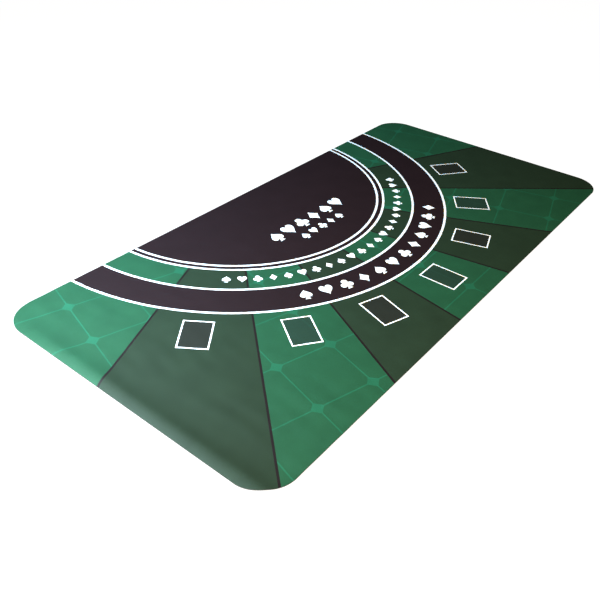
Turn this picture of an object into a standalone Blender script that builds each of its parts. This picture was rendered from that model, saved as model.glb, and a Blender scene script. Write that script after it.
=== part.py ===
"""Roll-out blackjack table mat: printed cloth laminated to a foam rubber base.

Frame: metres, origin at the centre of the underside, +X along the long side,
+Y towards the dealer's side, +Z up. The mat lies flat.
"""

import math

import bmesh
import bpy

# Driving dimensions
MAT_LENGTH = 1.800
MAT_WIDTH = 0.900
MAT_THICKNESS = 0.0020
CORNER_RADIUS = 0.088
CLOTH_THICKNESS = 0.00035
FILM_THICKNESS = 0.00010

# Meshes that touch keep this gap, so the layers stay separate solids.
LAYER_GAP = 0.0003
CORNER_SEGMENTS = 24

# The layers stack up from the table: base, film, cloth.
BASE_THICKNESS = MAT_THICKNESS - CLOTH_THICKNESS - FILM_THICKNESS - 2.0 * LAYER_GAP
BASE_BOTTOM = 0.0
FILM_BOTTOM = BASE_BOTTOM + BASE_THICKNESS + LAYER_GAP
CLOTH_BOTTOM = FILM_BOTTOM + FILM_THICKNESS + LAYER_GAP

# The film stops short of the cut edge, as a melted adhesive film does.
FILM_SETBACK = 0.001


def clear_scene():
    for scene_object in list(bpy.data.objects):
        bpy.data.objects.remove(scene_object, do_unlink=True)


def make_material(name, color, roughness, sheen=0.0):
    material = bpy.data.materials.new(name)
    material.use_nodes = True
    shader = material.node_tree.nodes["Principled BSDF"]
    shader.inputs["Base Color"].default_value = (*color, 1.0)
    shader.inputs["Roughness"].default_value = roughness
    shader.inputs["Metallic"].default_value = 0.0
    shader.inputs["Sheen Weight"].default_value = sheen
    return material


def rounded_outline(length, width, radius):
    """Anticlockwise outline of a rectangle whose corners are quarter circles."""
    inner_x = length / 2.0 - radius
    inner_y = width / 2.0 - radius
    corner_centres = [(inner_x, inner_y), (-inner_x, inner_y), (-inner_x, -inner_y), (inner_x, -inner_y)]
    points = []
    for quarter, (centre_x, centre_y) in enumerate(corner_centres):
        for step in range(CORNER_SEGMENTS + 1):
            angle = (quarter + step / CORNER_SEGMENTS) * math.pi / 2.0
            x = centre_x + radius * math.cos(angle)
            y = centre_y + radius * math.sin(angle)
            points.append((x, y))
    return points


def make_layer(name, bottom, thickness, setback, material):
    """One flat sheet of the mat, die-cut to the outline less its setback."""
    length = MAT_LENGTH - 2.0 * setback
    width = MAT_WIDTH - 2.0 * setback
    outline = rounded_outline(length, width, CORNER_RADIUS - setback)
    sheet = bmesh.new()
    lower_face = sheet.faces.new([sheet.verts.new((x, y, 0.0)) for x, y in outline])
    extruded = bmesh.ops.extrude_face_region(sheet, geom=[lower_face], use_keep_orig=True)
    raised = [item for item in extruded["geom"] if isinstance(item, bmesh.types.BMVert)]
    bmesh.ops.translate(sheet, verts=raised, vec=(0.0, 0.0, thickness))
    bmesh.ops.recalc_face_normals(sheet, faces=sheet.faces)
    mesh = bpy.data.meshes.new(name)
    sheet.to_mesh(mesh)
    sheet.free()
    mesh.shade_smooth()
    mesh.set_sharp_from_angle(angle=math.radians(30.0))
    mesh.materials.append(material)
    layer = bpy.data.objects.new(name, mesh)
    layer.location = (0.0, 0.0, bottom)
    bpy.context.scene.collection.objects.link(layer)
    return layer


def build_rubber_base():
    """Foam rubber that grips the table and cushions the cards."""
    rubber = make_material("foam_rubber", (0.020, 0.018, 0.018), 0.85)
    return make_layer("rubber_base", BASE_BOTTOM, BASE_THICKNESS, 0.0, rubber)


def build_bond_film():
    """Hot-melt film that bonds the cloth to the rubber."""
    adhesive = make_material("hot_melt_film", (0.62, 0.60, 0.54), 0.45)
    return make_layer("bond_film", FILM_BOTTOM, FILM_THICKNESS, FILM_SETBACK, adhesive)


def build_printed_cloth():
    """Smooth polyester cloth that carries the game layout."""
    cloth = make_material("printed_polyester", (0.016, 0.115, 0.062), 0.70, sheen=0.2)
    return make_layer("printed_cloth", CLOTH_BOTTOM, CLOTH_THICKNESS, 0.0, cloth)


clear_scene()
build_rubber_base()
build_bond_film()
build_printed_cloth()
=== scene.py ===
"""Looks of the roll-out blackjack table mat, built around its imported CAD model.

Places are in the row frame: metres, +X along the mat, +Y towards the dealer, +Z up.
The printed layout is drawn in artwork coordinates, (across, ahead): across to the
players' right and ahead from the dealer's centre towards the players.
"""
import math

import bpy
import numpy as np
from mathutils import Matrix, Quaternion, Vector
from mathutils.geometry import delaunay_2d_cdt


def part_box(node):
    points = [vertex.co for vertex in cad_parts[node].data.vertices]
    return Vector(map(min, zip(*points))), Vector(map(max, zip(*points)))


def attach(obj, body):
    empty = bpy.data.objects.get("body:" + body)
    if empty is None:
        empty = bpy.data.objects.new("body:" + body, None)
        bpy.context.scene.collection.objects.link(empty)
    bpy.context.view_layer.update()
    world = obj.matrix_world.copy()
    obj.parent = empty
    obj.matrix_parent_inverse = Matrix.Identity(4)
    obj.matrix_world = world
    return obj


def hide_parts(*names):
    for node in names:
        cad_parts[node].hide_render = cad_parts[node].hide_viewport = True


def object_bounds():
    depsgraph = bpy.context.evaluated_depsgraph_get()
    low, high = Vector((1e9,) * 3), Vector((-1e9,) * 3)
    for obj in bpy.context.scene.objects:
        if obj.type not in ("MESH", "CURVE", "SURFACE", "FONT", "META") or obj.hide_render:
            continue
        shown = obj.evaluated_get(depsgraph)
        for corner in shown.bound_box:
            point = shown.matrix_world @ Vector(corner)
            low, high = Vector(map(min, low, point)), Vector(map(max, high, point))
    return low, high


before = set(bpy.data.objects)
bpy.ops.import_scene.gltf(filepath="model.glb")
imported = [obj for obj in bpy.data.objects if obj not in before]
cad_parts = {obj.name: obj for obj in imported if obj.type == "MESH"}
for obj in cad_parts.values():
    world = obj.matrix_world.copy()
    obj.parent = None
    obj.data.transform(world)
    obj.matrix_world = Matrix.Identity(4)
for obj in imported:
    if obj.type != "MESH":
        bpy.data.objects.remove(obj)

cad_low, cad_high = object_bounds()

# ---------------------------------------------------------------- sizes of the mat
MAT_LENGTH = cad_high.x - cad_low.x
MAT_WIDTH = cad_high.y - cad_low.y
MAT_THICKNESS = cad_high.z - cad_low.z
CLOTH_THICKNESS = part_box("printed_cloth")[1].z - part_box("printed_cloth")[0].z
FILM_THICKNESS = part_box("bond_film")[1].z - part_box("bond_film")[0].z
FILM_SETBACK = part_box("bond_film")[0].x - cad_low.x
CORNER_RADIUS = 0.088
CORNER_POINTS = 33
OUTLINE_STEP = 0.009
SKIN_GAP = 0.00003

# The layers, as heights above the underside.
CLOTH_LOW = MAT_THICKNESS - CLOTH_THICKNESS
FILM_HIGH = CLOTH_LOW - SKIN_GAP
FILM_LOW = FILM_HIGH - FILM_THICKNESS
RUBBER_HIGH = FILM_LOW - SKIN_GAP

# ---------------------------------------------------------------- printed layout
LAYOUT_AXIS_X = 0.006
DEALER_CENTRE_Y = 0.5033
ART_STRETCH = 1.045

ARC_RADII = (0.474, 0.494, 0.589, 0.692)
ARC_LINE_WIDTH = 0.0069
ARC_STEP = 0.009

# Each divider is a straight line. Its angle from straight ahead is given where it
# crosses the green band and where it nears the rim.
DIVIDER_RADII = (0.568, 0.950)
DIVIDER_ANGLES = (
    (-62.4, -64.6), (-43.8, -43.6), (-26.5, -26.8), (-8.7, -9.3),
    (8.5, 8.9), (26.2, 26.2), (43.3, 43.0), (61.6, 63.5),
)
DIVIDER_WIDTH = 0.0056
DIVIDER_REACH = 1.35
DIVIDER_HALVINGS = 40
DIVIDER_POINTS = 60

BOX_RADIUS = 0.782
BOX_ANGLES = (-54.3, -35.3, -18.2, 0.0, 18.2, 35.3, 54.3)
BOX_WIDTH = 0.0795
BOX_HEIGHT = 0.108
BOX_LINE_WIDTH = 0.0037
PRINT_STEP = 0.012

TILE_PITCH = 0.1565
TILE_LINE_WIDTH = 0.0036
TILE_CORNER_CUT = 0.0155
TILE_CORNER_BULGE = 0.0008
TILE_CORNER_POINTS = 5
TILE_TILT = 16.0
LEFT_TILE_NODE = (-0.769, 0.141)
MIRROR_ACROSS = 0.018
CENTRE_TILE_NODE = (0.005, 0.860)
TILE_REACH = 8
LEFT_PATCH_START = -1.02
LEFT_PATCH_OVERLAP = 0.30
CENTRE_PATCH_REACH = 0.20

# Pips in rows: count, pitch, height and the middle of the row in the artwork.
PIP_ROWS = (
    (6, 0.060, 0.050, (0.002, 0.308)),
    (5, 0.042, 0.031, (0.001, 0.366)),
)
# Pips in arcs: count, degrees to each side, height, radius and the middle in degrees.
PIP_ARCS = (
    (12, 30.6, 0.041, 0.6398, 0.2),
    (23, 49.8, 0.028, 0.5404, 0.1),
)

# ---------------------------------------------------------------- lie of the mat
CREST_FROM_EDGE = 0.025
CREST_HEIGHT = 0.0048
CREST_TAIL = 0.012
CREST_LEVEL_TO = 0.16
CREST_LOW_FROM = 0.42
CREST_LOW_SHARE = 0.25
RIPPLE_HEIGHT = 0.00052
RIPPLE_FADE = 0.35
RIPPLE_FULL_FROM = 0.15
RIPPLE_REST = 1.5
LONG_RIPPLE_LENGTH = 0.083
LONG_RIPPLE_SHARE = 0.7
SHORT_RIPPLE_LENGTH = 0.049
SHORT_RIPPLE_SHARE = 0.8
SHORT_RIPPLE_WANDER = 1.6
SHORT_RIPPLE_PHASE = 1.0
# How far the ripples wander along X: a distance, radians per metre of Y and a phase.
RIPPLE_WANDERS = ((0.016, 5.1, 0.6), (0.008, 17.0, 0.0))
# The short ripples come in patches: radians per metre of Y and of X.
PATCH_RATE_Y = 11.0
PATCH_RATE_X = 8.0
EDGE_ROUNDING = 0.0008
EDGE_DROP = 0.00012

# ---------------------------------------------------------------- fineness of the mesh
# Steps along X as far as each distance from the left edge, where the mat bends most.
COLUMN_STEPS = ((0.25, 0.006), (0.90, 0.010), (math.inf, 0.016))
ROW_STEP = 0.016
GRID_MARGIN = 0.003
MERGE_DISTANCE = 1e-5
SLOPE_STEP = 0.0002


def place(art):
    """Artwork points to mat points. The print is stretched a little across the mat."""
    art = np.atleast_2d(np.asarray(art, float))
    x = LAYOUT_AXIS_X + art[:, 0]
    y = DEALER_CENTRE_Y - ART_STRETCH * art[:, 1]
    return np.stack([x, y], axis=1)


def to_artwork(points):
    """Mat points to artwork points."""
    across = points[:, 0] - LAYOUT_AXIS_X
    ahead = (DEALER_CENTRE_Y - points[:, 1]) / ART_STRETCH
    return np.stack([across, ahead], axis=1)


def polar(radius, degrees):
    """The artwork point at a radius and at an angle from straight ahead."""
    angle = np.radians(degrees)
    return np.stack([radius * np.sin(angle), radius * np.cos(angle)], axis=-1)


# ---------------------------------------------------------------- outlines
def mat_outline(setback):
    """Anticlockwise outline of the die-cut mat, brought in by a setback."""
    radius = CORNER_RADIUS - setback
    inner_x = MAT_LENGTH / 2.0 - CORNER_RADIUS
    inner_y = MAT_WIDTH / 2.0 - CORNER_RADIUS
    quadrants = ((1.0, 1.0), (-1.0, 1.0), (-1.0, -1.0), (1.0, -1.0))
    corners = []
    for quarter, (side_x, side_y) in enumerate(quadrants):
        angles = np.linspace(quarter, quarter + 1, CORNER_POINTS) * math.pi / 2.0
        arc = np.stack([np.cos(angles), np.sin(angles)], axis=1) * radius
        corners.append(arc + np.array((side_x * inner_x, side_y * inner_y)))
    return subdivided(np.concatenate(corners), OUTLINE_STEP)


def subdivided(loop, step):
    """The closed loop again, with its long stretches cut into steps."""
    points = []
    for start, end in zip(loop, np.roll(loop, -1, axis=0)):
        count = max(1, math.ceil(np.linalg.norm(end - start) / step))
        shares = np.arange(count)[:, None] / count
        points.append(start + (end - start) * shares)
    return np.concatenate(points)


def edge_distance(x, y):
    """How far a point lies inside the mat's outline."""
    past_x = np.abs(x) - (MAT_LENGTH / 2.0 - CORNER_RADIUS)
    past_y = np.abs(y) - (MAT_WIDTH / 2.0 - CORNER_RADIUS)
    beyond = np.hypot(np.maximum(past_x, 0.0), np.maximum(past_y, 0.0))
    within = np.minimum(np.maximum(past_x, past_y), 0.0)
    return CORNER_RADIUS - beyond - within


def arc_line(radius):
    """One edge of a curved line, cut off at the mat's straight edge."""
    top_ahead = (DEALER_CENTRE_Y - MAT_WIDTH / 2.0) / ART_STRETCH
    reach = math.degrees(math.acos(top_ahead / radius))
    count = math.ceil(2.0 * math.radians(reach) * radius / ARC_STEP)
    return place(polar(radius, np.linspace(-reach, reach, count + 1)))


def divider_ends(angles):
    """A divider's start in the artwork and its direction."""
    near, far = (polar(radius, angle) for radius, angle in zip(DIVIDER_RADII, angles))
    direction = (far - near) / np.linalg.norm(far - near)
    start = near - direction * (DIVIDER_RADII[0] - ARC_RADII[1])
    return start, direction


def divider_line(angles, side):
    """One edge of a divider, cut off at the mat's outline."""
    start, direction = divider_ends(angles)
    normal = np.array([direction[1], -direction[0]])
    start = start + normal * side * DIVIDER_WIDTH / 2.0
    near, far = 0.0, DIVIDER_REACH
    for _ in range(DIVIDER_HALVINGS):
        middle = (near + far) / 2.0
        x, y = place(start + direction * middle)[0]
        if edge_distance(x, y) > 0.0:
            near = middle
        else:
            far = middle
    shares = np.linspace(0.0, near, DIVIDER_POINTS)[:, None]
    return place(start + direction * shares)


def box_outline(degrees, inset):
    """A betting box in the artwork, turned to face the dealer's centre."""
    centre = polar(BOX_RADIUS, degrees)
    half_width = BOX_WIDTH / 2.0 - inset
    half_height = BOX_HEIGHT / 2.0 - inset
    corners = np.array([(-1, -1), (1, -1), (1, 1), (-1, 1)]) * (half_width, half_height)
    return place(centre + turned(corners, degrees))


def turned(points, degrees):
    """Points drawn upright, turned so that up points to the dealer's centre."""
    angle = math.radians(degrees)
    right = np.array([math.cos(angle), -math.sin(angle)])
    up = np.array([-math.sin(angle), -math.cos(angle)])
    return points[:, :1] * right + points[:, 1:] * up


def tile_outline():
    """One tile of the lattice about its own centre, with bulged cut corners."""
    half = (TILE_PITCH - TILE_LINE_WIDTH) / 2.0
    points = []
    for quarter in range(4):
        angle = quarter * math.pi / 2.0
        turn = np.array([(math.cos(angle), -math.sin(angle)), (math.sin(angle), math.cos(angle))])
        for share in np.linspace(0.0, 1.0, TILE_CORNER_POINTS):
            bulge = TILE_CORNER_BULGE * 4.0 * share * (1.0 - share) / math.sqrt(2.0)
            x = half - TILE_CORNER_CUT * share + bulge
            y = half - TILE_CORNER_CUT * (1.0 - share) + bulge
            points.append(turn @ (x, y))
    return np.array(points)


def tiles_at(node, tilt, keep):
    """The tiles of one patch of lattice that keep(centre) wants."""
    angle = math.radians(tilt)
    along = np.array([math.cos(angle), math.sin(angle)]) * TILE_PITCH
    down = np.array([-math.sin(angle), math.cos(angle)]) * TILE_PITCH
    shape = tile_outline()
    shape = shape[:, :1] * along / TILE_PITCH + shape[:, 1:] * down / TILE_PITCH
    tiles = []
    for column in range(-TILE_REACH, TILE_REACH):
        for row in range(-TILE_REACH, TILE_REACH):
            centre = np.array(node) + along * (column + 0.5) + down * (row + 0.5)
            if keep(centre):
                tiles.append(centre + shape)
    return tiles


def lattice_tiles():
    """Every tile: a tilted patch on each side, mirrored, and an upright one ahead."""
    side_edge = polar(DIVIDER_RADII[1], DIVIDER_ANGLES[2][1])[0]
    patch_end = side_edge + LEFT_PATCH_OVERLAP
    left = tiles_at(LEFT_TILE_NODE, TILE_TILT, lambda c: LEFT_PATCH_START < c[0] < patch_end)
    right = [tile * (-1.0, 1.0) + (2.0 * MIRROR_ACROSS, 0.0) for tile in left]
    centre = tiles_at(CENTRE_TILE_NODE, 0.0, lambda c: abs(c[0]) < CENTRE_PATCH_REACH)
    return left, right, centre


# ---------------------------------------------------------------- card suit pips
# Each suit is drawn one unit tall, about its own centre.
HEART_POINTS = 26
HEART_CURVE_HEIGHT = 29.0
HEART_CURVE_DROP = 2.5
SPADE_LEAF_SIZE = (0.90, -0.80)
SPADE_LEAF_PLACE = (0.0, 0.10)
STEM_LEFT_SIDE = ((-0.035, -0.10), (-0.07, -0.34), (-0.20, -0.5))
CLUB_LEAF_POINTS = 16
CLUB_LEAF_RADIUS = 0.225
CLUB_LEAF_CENTRES = ((0.0, 0.275), (-0.245, -0.08), (0.245, -0.08))
CLUB_CORE = ((-0.12, -0.12), (0.12, -0.12), (0.10, 0.14), (-0.10, 0.14))
DIAMOND_HALF_WIDTH = 0.39
DIAMOND_HOLLOW = 0.90


def heart():
    """The usual heart curve, brought to one unit tall."""
    t = np.linspace(0.0, 2.0 * math.pi, HEART_POINTS, endpoint=False)
    x = 13.5 * np.sin(t) ** 3
    y = 13.0 * np.cos(t) - 5.0 * np.cos(2.0 * t) - 2.0 * np.cos(3.0 * t) - np.cos(4.0 * t)
    return [np.stack([x, y + HEART_CURVE_DROP], axis=1) / HEART_CURVE_HEIGHT]


def stem():
    """The flared stem under a spade or a club."""
    right_side = [(-x, y) for x, y in reversed(STEM_LEFT_SIDE)]
    return np.array([*STEM_LEFT_SIDE, *right_side])


def spade():
    """A heart turned upside down, on a stem."""
    leaf = heart()[0] * SPADE_LEAF_SIZE + SPADE_LEAF_PLACE
    return [leaf, stem()]


def club():
    """Three round leaves, the core between them, and a stem."""
    t = np.linspace(0.0, 2.0 * math.pi, CLUB_LEAF_POINTS, endpoint=False)
    leaf = np.stack([np.cos(t), np.sin(t)], axis=1) * CLUB_LEAF_RADIUS
    leaves = [leaf + centre for centre in CLUB_LEAF_CENTRES]
    return [*leaves, np.array(CLUB_CORE), stem()]


def diamond():
    """A rhombus with slightly hollow sides."""
    side = DIAMOND_HALF_WIDTH
    corners = np.array([(0.0, 0.5), (-side, 0.0), (0.0, -0.5), (side, 0.0)])
    middles = (corners + np.roll(corners, -1, axis=0)) / 2.0 * DIAMOND_HOLLOW
    return [np.stack([corners, middles], axis=1).reshape(-1, 2)]


SUITS = (spade, heart, club, diamond)


def row_of_pips(count, pitch, height, centre):
    """A straight row of pips about a point of the artwork."""
    shapes = []
    for index in range(count):
        offset = (index - (count - 1) / 2.0) * pitch
        for part in SUITS[index % len(SUITS)]():
            shapes.append(place(np.array(centre) + part * (height, -height) + (offset, 0.0)))
    return shapes


def arc_of_pips(count, reach, height, radius, middle):
    """Pips along an arc, each upright towards the dealer's centre."""
    shapes = []
    for index in range(count):
        degrees = middle + (index / (count - 1) * 2.0 - 1.0) * reach
        for part in SUITS[index % len(SUITS)]():
            shapes.append(place(polar(radius, degrees) + turned(part * height, degrees)))
    return shapes


def pip_shapes():
    """Every pip's outlines, where the photographed mat has its lettering."""
    shapes = []
    for row in PIP_ROWS:
        shapes.extend(row_of_pips(*row))
    for arc in PIP_ARCS:
        shapes.extend(arc_of_pips(*arc))
    return shapes


# ---------------------------------------------------------------- flat triangulation
class Drawing:
    """Lines and loose points that a flat triangulation has to keep."""

    def __init__(self):
        self.points = []
        self.edges = []

    def add(self, points, closed):
        first = len(self.points)
        self.points.extend(Vector((float(x), float(y))) for x, y in points)
        last = len(self.points)
        self.edges.extend((i, i + 1) for i in range(first, last - 1))
        if closed:
            self.edges.append((last - 1, first))

    def triangles(self, setback):
        """Points, triangles inside the outline, and the rim as an ordered loop."""
        flat = delaunay_2d_cdt(self.points, self.edges, [], 0, MERGE_DISTANCE, False)
        points = np.array([tuple(p) for p in flat[0]])
        faces = np.array([tuple(face) for face in flat[2]])
        centres = points[faces].mean(axis=1)
        faces = faces[edge_distance(centres[:, 0], centres[:, 1]) > setback]
        used, faces = np.unique(faces, return_inverse=True)
        faces = faces.reshape(-1, 3)
        return points[used], faces, rim_of(faces)


def rim_of(faces):
    """The open edge of a patch of anticlockwise triangles, in order."""
    directed = {(int(a), int(b)) for face in faces for a, b in zip(face, np.roll(face, -1))}
    following = {a: b for a, b in directed if (b, a) not in directed}
    start = min(following)
    rim = [start]
    while following[rim[-1]] != start:
        rim.append(following[rim[-1]])
    return rim


def grid_points(setback):
    """Loose points inside the outline, closer together near the left edge."""
    columns = [cad_low.x]
    while columns[-1] < cad_high.x:
        from_left = columns[-1] - cad_low.x
        step = next(step for reach, step in COLUMN_STEPS if from_left < reach)
        columns.append(columns[-1] + step)
    points = []
    for index, x in enumerate(columns):
        rows = np.arange(cad_low.y + (index % 2) * ROW_STEP / 2.0, cad_high.y, ROW_STEP)
        keep = rows[edge_distance(x, rows) > setback + GRID_MARGIN]
        points.extend((x, y) for y in keep)
    return points


# ---------------------------------------------------------------- lie of the mat
def lift(x, y):
    """Height of the mat's underside above the table. The left end still remembers
    being rolled: its edge rests on the table, then comes a crest and fading ripples."""
    from_left = x - cad_low.x
    rise = 1.0 - ((from_left - CREST_FROM_EDGE) / CREST_FROM_EDGE) ** 2
    past = np.maximum(from_left - CREST_FROM_EDGE, 0.0) / CREST_TAIL
    tail = (1.0 + past) * np.exp(-past)
    crest = crest_height(y) * np.where(from_left < CREST_FROM_EDGE, rise, tail)
    return crest + ripple(from_left, y)


def ripple(from_left, y):
    """Long ripples across the mat and patches of shorter ones, fading to the right."""
    turn = 2.0 * math.pi
    wander = sum(far * np.sin(rate * y + phase) for far, rate, phase in RIPPLE_WANDERS)
    long_wave = np.sin(turn * (from_left + wander) / LONG_RIPPLE_LENGTH)
    short_place = from_left - SHORT_RIPPLE_WANDER * wander
    short_wave = np.sin(turn * short_place / SHORT_RIPPLE_LENGTH + SHORT_RIPPLE_PHASE)
    patches = np.sin(PATCH_RATE_Y * y + PATCH_RATE_X * from_left)
    waves = LONG_RIPPLE_SHARE * long_wave + SHORT_RIPPLE_SHARE * (short_wave * patches)
    grow = np.clip(from_left / RIPPLE_FULL_FROM, 0.0, 1.0)
    fade = np.exp(-from_left / RIPPLE_FADE) * grow
    return RIPPLE_HEIGHT * (waves + RIPPLE_REST) * fade


def crest_height(y):
    """The crest is lower at the dealer's corner, and eases down to there."""
    share = np.clip((y - CREST_LEVEL_TO) / (CREST_LOW_FROM - CREST_LEVEL_TO), 0.0, 1.0)
    eased = share * share * (3.0 - 2.0 * share)
    return CREST_HEIGHT * (1.0 - (1.0 - CREST_LOW_SHARE) * eased)


def surface(height, rounding):
    """A layer's skin as a function of x and y, its edge let down by a rounding."""
    def skin(x, y):
        near = np.clip(1.0 - edge_distance(x, y) / EDGE_ROUNDING, 0.0, 1.0)
        return lift(x, y) + height - rounding * near ** 2
    return skin


def normals_of(skin, points):
    """Unit normals of a skin at points, from its slopes."""
    x, y = points[:, 0], points[:, 1]
    step = SLOPE_STEP
    slope_x = (skin(x + step, y) - skin(x - step, y)) / (2.0 * step)
    slope_y = (skin(x, y + step) - skin(x, y - step)) / (2.0 * step)
    normals = np.stack([-slope_x, -slope_y, np.ones(len(x))], axis=1)
    return normals / np.linalg.norm(normals, axis=1, keepdims=True)


def build_sheet(name, flat, low_skin, high_skin, materials, inks):
    """A closed sheet: the flat triangles as two skins, joined by a rim. The top takes
    its materials from inks, and the rim and the underside take the last one."""
    points, faces, rim = flat
    count = len(points)
    x, y = points[:, 0], points[:, 1]
    top = np.column_stack([points, high_skin(x, y)])
    bottom = np.column_stack([points, low_skin(x, y)])
    following = np.roll(rim, -1)
    sides = np.column_stack([rim, following, following, rim]) + (count, count, 0, 0)
    polygons = [*faces.tolist(), *(faces[:, ::-1] + count).tolist(), *sides.tolist()]
    mesh = bpy.data.meshes.new(name)
    mesh.from_pydata(np.concatenate([top, bottom]).tolist(), [], polygons)
    for material in materials:
        mesh.materials.append(material)
    ink_of_face = np.full(len(polygons), len(materials) - 1, np.int32)
    ink_of_face[: len(faces)] = inks
    mesh.polygons.foreach_set("material_index", ink_of_face)
    mesh.shade_smooth()
    up = normals_of(high_skin, points)
    down = -normals_of(low_skin, points)
    out = rim_normals(points, rim)
    next_out = np.roll(out, -1, axis=0)
    loops = np.concatenate([
        up[faces].reshape(-1, 3),
        down[faces[:, ::-1]].reshape(-1, 3),
        np.stack([out, next_out, next_out, out], axis=1).reshape(-1, 3),
    ])
    mesh.normals_split_custom_set(loops.tolist())
    sheet = bpy.data.objects.new(name, mesh)
    bpy.context.scene.collection.objects.link(sheet)
    return sheet


def rim_normals(points, rim):
    """Outward directions along the rim, level with the table."""
    loop = points[rim]
    along = np.roll(loop, -1, axis=0) - np.roll(loop, 1, axis=0)
    out = np.column_stack([along[:, 1], -along[:, 0], np.zeros(len(loop))])
    return out / np.linalg.norm(out, axis=1, keepdims=True)


# ---------------------------------------------------------------- which ink goes where
def inside(polygon, points):
    """Which points lie inside a closed polygon."""
    found = np.zeros(len(points), bool)
    low, high = polygon.min(axis=0), polygon.max(axis=0)
    near = np.flatnonzero(((points >= low) & (points <= high)).all(axis=1))
    x, y = points[near, 0], points[near, 1]
    odd = np.zeros(len(near), bool)
    for (x0, y0), (x1, y1) in zip(polygon, np.roll(polygon, -1, axis=0)):
        if y0 == y1:
            continue
        spans = (y0 > y) != (y1 > y)
        odd ^= spans & (x < (x1 - x0) * (y - y0) / (y1 - y0) + x0)
    found[near] = odd
    return found


def inside_any(polygons, points):
    found = np.zeros(len(points), bool)
    for polygon in polygons:
        found |= inside(polygon, points)
    return found


# Linear colours, one per dye.
INK_COLORS = {
    "light_green": (0.0112, 0.0585, 0.0293),
    "tile_line": (0.0115, 0.0850, 0.0463),
    "dark_green": (0.0129, 0.0256, 0.0149),
    "divider": (0.0090, 0.0056, 0.0065),
    "black": (0.0125, 0.0066, 0.0084),
    "white": (0.80, 0.86, 0.95),
    "box_dark": (0.0136, 0.0165, 0.0134),
    "box_light": (0.0123, 0.0322, 0.0224),
    "box_tile_line": (0.0128, 0.0378, 0.0272),
}
INKS = tuple(INK_COLORS)


def inks_at(points, tiles, pips):
    """The index in INKS of the ink at each point of the mat."""
    art = to_artwork(points)
    radius = np.hypot(art[:, 0], art[:, 1])
    sector = np.zeros(len(points), int)
    on_divider = np.zeros(len(points), bool)
    for angles in DIVIDER_ANGLES:
        start, direction = divider_ends(angles)
        side = (art - start) @ np.array([direction[1], -direction[0]])
        sector += side > 0.0
        on_divider |= np.abs(side) < DIVIDER_WIDTH / 2.0
    dark = sector % 2 == 1
    left_tiles, right_tiles, centre_tiles = tiles
    on_tile = np.where(sector < 4, inside_any(left_tiles, points), inside_any(right_tiles, points))
    on_tile = np.where(sector == 4, inside_any(centre_tiles, points), on_tile)
    ink = np.where(dark, INKS.index("dark_green"), INKS.index("tile_line"))
    ink[~dark & on_tile] = INKS.index("light_green")
    ink[on_divider] = INKS.index("divider")
    for degrees in BOX_ANGLES:
        within = inside(box_outline(degrees, BOX_LINE_WIDTH), points)
        framed = inside(box_outline(degrees, 0.0), points) & ~within
        ink[within & dark] = INKS.index("box_dark")
        ink[within & ~dark] = INKS.index("box_tile_line")
        ink[within & ~dark & on_tile] = INKS.index("box_light")
        ink[framed] = INKS.index("white")
    in_centre = radius < ARC_RADII[1]
    in_band = (radius > ARC_RADII[2]) & (radius < ARC_RADII[3])
    ink[in_centre | in_band] = INKS.index("black")
    for arc_radius in ARC_RADII:
        ink[np.abs(radius - arc_radius) < ARC_LINE_WIDTH / 2.0] = INKS.index("white")
    ink[inside_any(pips, points)] = INKS.index("white")
    return ink


def draw_layout(tiles, pips):
    """Every edge of the print, the mat's outline and loose points between them."""
    drawing = Drawing()
    drawing.add(mat_outline(0.0), closed=True)
    drawing.add(mat_outline(EDGE_ROUNDING), closed=True)
    for radius in ARC_RADII:
        drawing.add(arc_line(radius - ARC_LINE_WIDTH / 2.0), closed=False)
        drawing.add(arc_line(radius + ARC_LINE_WIDTH / 2.0), closed=False)
    for angles in DIVIDER_ANGLES:
        drawing.add(divider_line(angles, -1.0), closed=False)
        drawing.add(divider_line(angles, 1.0), closed=False)
    for degrees in BOX_ANGLES:
        drawing.add(subdivided(box_outline(degrees, 0.0), PRINT_STEP), closed=True)
        drawing.add(subdivided(box_outline(degrees, BOX_LINE_WIDTH), PRINT_STEP), closed=True)
    for tile in [*tiles[0], *tiles[1], *tiles[2]]:
        drawing.add(subdivided(tile, PRINT_STEP), closed=True)
    for pip in pips:
        drawing.add(pip, closed=True)
    for point in grid_points(EDGE_ROUNDING):
        drawing.points.append(Vector(point))
    return drawing


def plain_sheet(setback):
    """The outline and loose points only, for the layers without a print."""
    drawing = Drawing()
    drawing.add(mat_outline(setback), closed=True)
    for point in grid_points(setback):
        drawing.points.append(Vector(point))
    return drawing.triangles(setback)


# ---------------------------------------------------------------- materials
WEAVE_PITCH = 0.0009
EMBOSS_PITCH = 0.0072
CORE_COLOR = (0.045, 0.070, 0.052)
ADHESIVE_COLOR = (0.070, 0.066, 0.062)
RUBBER_COLOR = (0.021, 0.018, 0.017)
# Blender's wave texture repeats over this length at a scale of 1.
WAVE_REPEAT = 2.0 * math.pi / 20.0
# Where nearly all of a noise pattern's values lie.
NOISE_LOW = 0.3
NOISE_HIGH = 0.7


def new_material(name, color, roughness):
    material = bpy.data.materials.new(name)
    material.use_nodes = True
    shader = material.node_tree.nodes["Principled BSDF"]
    shader.inputs["Base Color"].default_value = (*color, 1.0)
    shader.inputs["Roughness"].default_value = roughness
    return material, shader


def noise(material, scale, detail):
    """A noise pattern fixed to the piece, its scale in features per metre."""
    nodes, links = material.node_tree.nodes, material.node_tree.links
    place_on_piece = nodes.new("ShaderNodeTexCoord")
    texture = nodes.new("ShaderNodeTexNoise")
    texture.inputs["Scale"].default_value = scale
    texture.inputs["Detail"].default_value = detail
    links.new(place_on_piece.outputs["Object"], texture.inputs["Vector"])
    return texture.outputs["Fac"]


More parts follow.
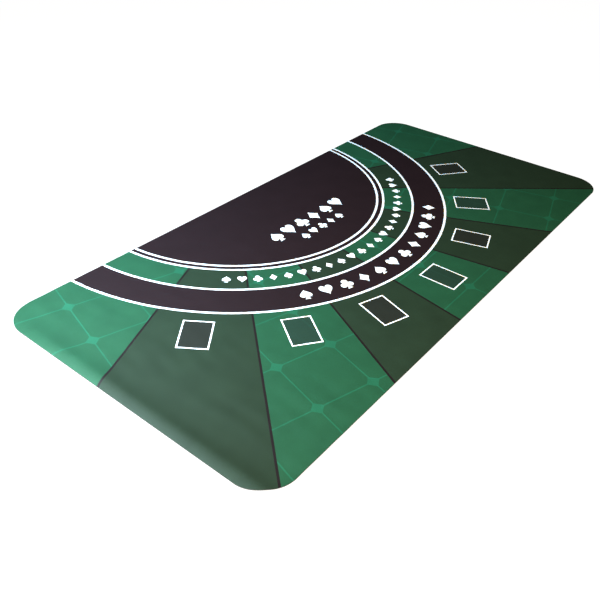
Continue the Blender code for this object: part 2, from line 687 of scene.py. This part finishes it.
def yarns(material, direction, spacing):
    """Fine parallel yarns along X or Y, a spacing apart."""
    nodes, links = material.node_tree.nodes, material.node_tree.links
    place_on_piece = nodes.new("ShaderNodeTexCoord")
    wave = nodes.new("ShaderNodeTexWave")
    wave.bands_direction = direction
    wave.inputs["Scale"].default_value = WAVE_REPEAT / spacing
    wave.inputs["Distortion"].default_value = 1.2
    wave.inputs["Detail"].default_value = 1.0
    wave.inputs["Detail Scale"].default_value = 2.0
    links.new(place_on_piece.outputs["Object"], wave.inputs["Vector"])
    return wave.outputs["Fac"]


def combined(material, operation, first, second):
    node = material.node_tree.nodes.new("ShaderNodeMath")
    node.operation = operation
    for socket, value in zip(node.inputs, (first, second)):
        if isinstance(value, float):
            socket.default_value = value
        else:
            material.node_tree.links.new(value, socket)
    return node.outputs["Value"]


def ranged(material, pattern, low, high):
    """A noise pattern brought to the range from low to high."""
    node = material.node_tree.nodes.new("ShaderNodeMapRange")
    node.inputs["From Min"].default_value = NOISE_LOW
    node.inputs["From Max"].default_value = NOISE_HIGH
    node.inputs["To Min"].default_value = low
    node.inputs["To Max"].default_value = high
    material.node_tree.links.new(pattern, node.inputs["Value"])
    return node.outputs["Result"]


def vary_color(material, shader, color, pattern, spread):
    """Base colour that runs a little darker and lighter with a pattern."""
    mix = material.node_tree.nodes.new("ShaderNodeMix")
    mix.data_type = "RGBA"
    mix.inputs["A"].default_value = (*[channel * (1.0 - spread) for channel in color], 1.0)
    mix.inputs["B"].default_value = (*[channel * (1.0 + spread) for channel in color], 1.0)
    material.node_tree.links.new(pattern, mix.inputs["Factor"])
    material.node_tree.links.new(mix.outputs["Result"], shader.inputs["Base Color"])


def add_bump(material, shader, pattern, distance, strength):
    bump = material.node_tree.nodes.new("ShaderNodeBump")
    bump.inputs["Distance"].default_value = distance
    bump.inputs["Strength"].default_value = strength
    material.node_tree.links.new(pattern, bump.inputs["Height"])
    material.node_tree.links.new(bump.outputs["Normal"], shader.inputs["Normal"])


def printed_fabric(name, color):
    """Smooth polyester in one dye: a fine weave and cloudy dye take-up."""
    material, shader = new_material(name, color, roughness=0.60)
    links = material.node_tree.links
    shader.inputs["Specular IOR Level"].default_value = 0.16
    clouds = noise(material, scale=16.0, detail=4.0)
    grain = noise(material, scale=700.0, detail=2.0)
    dye = combined(material, "MULTIPLY_ADD", grain, 0.5)
    links.new(combined(material, "MULTIPLY", clouds, 0.5), dye.node.inputs[2])
    vary_color(material, shader, color, ranged(material, dye, low=0.0, high=1.0), spread=0.14)
    links.new(ranged(material, grain, low=0.56, high=0.64), shader.inputs["Roughness"])
    slubs = ranged(material, noise(material, scale=260.0, detail=3.0), low=0.6, high=1.0)
    warp = yarns(material, "X", WEAVE_PITCH)
    weft = yarns(material, "Y", WEAVE_PITCH)
    weave = combined(material, "MULTIPLY", combined(material, "ADD", warp, weft), slubs)
    add_bump(material, shader, weave, distance=0.00005, strength=0.35)
    return material


def adhesive_material():
    material, shader = new_material("hot_melt_film", ADHESIVE_COLOR, roughness=0.42)
    clouds = noise(material, scale=40.0, detail=4.0)
    shades = ranged(material, clouds, low=0.0, high=1.0)
    vary_color(material, shader, ADHESIVE_COLOR, shades, spread=0.12)
    add_bump(material, shader, clouds, distance=0.00005, strength=0.5)
    return material


def rubber_material():
    """Foam rubber: near black, finely pitted, embossed with a small anti-slip weave."""
    material, shader = new_material("foam_rubber", RUBBER_COLOR, roughness=0.85)
    links = material.node_tree.links
    pits = noise(material, scale=900.0, detail=2.0)
    wear = noise(material, scale=14.0, detail=4.0)
    shades = ranged(material, wear, low=0.0, high=1.0)
    vary_color(material, shader, RUBBER_COLOR, shades, spread=0.25)
    links.new(ranged(material, pits, low=0.78, high=0.92), shader.inputs["Roughness"])
    ribs_x = yarns(material, "X", EMBOSS_PITCH)
    ribs_y = yarns(material, "Y", EMBOSS_PITCH)
    relief = combined(material, "MULTIPLY_ADD", pits, 0.25)
    links.new(combined(material, "MULTIPLY", ribs_x, ribs_y), relief.node.inputs[2])
    add_bump(material, shader, relief, distance=0.0005, strength=0.8)
    return material


def pale_material(name):
    """Studio white: a dim surface that is lit from within, so that it stays white."""
    material, shader = new_material(name, PALE_COLOR, roughness=0.9)
    shader.inputs["Emission Color"].default_value = (1.0, 1.0, 1.0, 1.0)
    shader.inputs["Emission Strength"].default_value = PALE_GLOW
    return material


# ---------------------------------------------------------------- camera, light, floor
CAMERA_ABOVE_MAT = (-1.5046, -1.0009, 1.0829)
CAMERA_AIM_ON_MAT = (-0.3160, -0.1145, 0.0)
CAMERA_ROLL = 2.39
CAMERA_LENS = 41.17
CAMERA_SENSOR = 36.0
CAMERA_SHIFT_X = -0.0302

# Only the window light leaves a glare on the cloth.
LIGHTS = (
    {"name": "window_light", "location": (-1.1, 0.5, 0.95), "aim": (-0.4, 0.25, 0.0),
     "size": 0.6, "power": 60.0, "color": (0.69, 0.87, 1.0), "glossy": True},
    {"name": "low_side_light", "location": (-2.6, 0.2, 0.28), "aim": (-0.7, 0.0, 0.0),
     "size": 0.4, "power": 168.0, "color": (0.70, 0.87, 1.0), "glossy": False},
    {"name": "warm_fill", "location": (-1.6, -2.0, 2.2), "aim": (-0.3, 0.0, 0.0),
     "size": 1.2, "power": 140.0, "color": (1.0, 0.56, 0.07), "glossy": False},
    {"name": "sky_fill", "location": (0.3, 1.6, 1.0), "aim": (0.0, 0.2, 0.0),
     "size": 0.8, "power": 24.0, "color": (0.15, 0.65, 1.0), "glossy": False},
)
WORLD_COLOR = (1.0, 0.95, 0.88)
WORLD_STRENGTH = 0.02

PALE_COLOR = (0.12, 0.12, 0.12)
PALE_GLOW = 0.98
FLOOR_REACH = 30.0
FLOOR_DROP = 0.0004
BACKDROP_RADIUS = 25.0
BACKDROP_HEIGHT = 30.0
BACKDROP_SIDES = 96


def make_camera():
    """A three-quarter view from the players' left corner, rolled slightly."""
    data = bpy.data.cameras.new("camera")
    data.lens = CAMERA_LENS
    data.sensor_width = CAMERA_SENSOR
    data.shift_x = CAMERA_SHIFT_X
    camera = bpy.data.objects.new("camera", data)
    mat_top = Vector((0.0, 0.0, MAT_THICKNESS))
    camera.location = Vector(CAMERA_ABOVE_MAT) + mat_top
    aim = Vector(CAMERA_AIM_ON_MAT) + mat_top - camera.location
    roll = Quaternion((0.0, 0.0, 1.0), math.radians(CAMERA_ROLL))
    camera.rotation_mode = "QUATERNION"
    camera.rotation_quaternion = aim.to_track_quat("-Z", "Y") @ roll
    bpy.context.scene.collection.objects.link(camera)
    bpy.context.scene.camera = camera


def make_light(name, location, aim, size, power, color, glossy):
    """A soft disk light that the camera doesn't see."""
    data = bpy.data.lights.new(name, "AREA")
    data.shape = "DISK"
    data.size = size
    data.energy = power
    data.color = color
    light = bpy.data.objects.new(name, data)
    light.location = location
    light.rotation_mode = "QUATERNION"
    light.rotation_quaternion = (Vector(aim) - Vector(location)).to_track_quat("-Z", "Y")
    light.visible_camera = False
    light.visible_glossy = glossy
    bpy.context.scene.collection.objects.link(light)


def make_world():
    world = bpy.data.worlds.new("studio")
    world.use_nodes = True
    background = world.node_tree.nodes["Background"]
    background.inputs["Color"].default_value = (*WORLD_COLOR, 1.0)
    background.inputs["Strength"].default_value = WORLD_STRENGTH
    bpy.context.scene.world = world


def make_floor():
    """A pale studio floor just under the mat."""
    mesh = bpy.data.meshes.new("studio_floor")
    signs = ((-1.0, -1.0), (1.0, -1.0), (1.0, 1.0), (-1.0, 1.0))
    corners = [(x * FLOOR_REACH, y * FLOOR_REACH, 0.0) for x, y in signs]
    mesh.from_pydata(corners, [], [(0, 1, 2, 3)])
    mesh.materials.append(pale_material("studio_floor"))
    floor = bpy.data.objects.new("studio_floor", mesh)
    floor.location.z = cad_low.z - FLOOR_DROP
    bpy.context.scene.collection.objects.link(floor)


def make_backdrop():
    """A pale round wall far behind the mat. Only the camera sees it, so it lights nothing."""
    count = BACKDROP_SIDES
    angles = np.arange(count) * 2.0 * math.pi / count
    ring = np.stack([np.cos(angles), np.sin(angles)], axis=1) * BACKDROP_RADIUS
    low = np.column_stack([ring, np.full(count, -BACKDROP_HEIGHT)])
    high = np.column_stack([ring, np.full(count, BACKDROP_HEIGHT)])
    walls = [(i, (i + 1) % count, (i + 1) % count + count, i + count) for i in range(count)]
    mesh = bpy.data.meshes.new("studio_backdrop")
    mesh.from_pydata(np.concatenate([low, high]).tolist(), [], walls)
    mesh.materials.append(pale_material("studio_backdrop"))
    backdrop = bpy.data.objects.new("studio_backdrop", mesh)
    backdrop.visible_diffuse = False
    backdrop.visible_glossy = False
    backdrop.visible_shadow = False
    bpy.context.scene.collection.objects.link(backdrop)


# ---------------------------------------------------------------- build the pieces
def build_cloth():
    tiles = tuple([place(tile) for tile in patch] for patch in lattice_tiles())
    pips = pip_shapes()
    flat = draw_layout(tiles, pips).triangles(0.0)
    points, faces, _ = flat
    centres = points[faces].mean(axis=1)
    inks = inks_at(centres, tiles, pips)
    materials = [printed_fabric(f"ink_{ink}", INK_COLORS[ink]) for ink in INKS]
    materials.append(printed_fabric("cloth_core", CORE_COLOR))
    underside = surface(CLOTH_LOW, 0.0)
    face = surface(MAT_THICKNESS, EDGE_DROP)
    cloth = build_sheet("layout_cloth", flat, underside, face, materials, inks)
    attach(cloth, "root")
    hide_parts("printed_cloth")


def build_layer(name, node, setback, low, high, material):
    """A layer without a print, between two heights above the underside."""
    flat = plain_sheet(setback)
    layer = build_sheet(name, flat, surface(low, 0.0), surface(high, 0.0), [material], 0)
    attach(layer, "root")
    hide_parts(node)
    return layer


make_camera()
build_layer("adhesive_layer", "bond_film", FILM_SETBACK, FILM_LOW, FILM_HIGH, adhesive_material())
backing = build_layer("rubber_backing", "rubber_base", 0.0, 0.0, RUBBER_HIGH, rubber_material())
build_cloth()

make_floor()
make_backdrop()
make_world()
for settings in LIGHTS:
    make_light(**settings)
bpy.context.scene.view_settings.view_transform = "Standard"
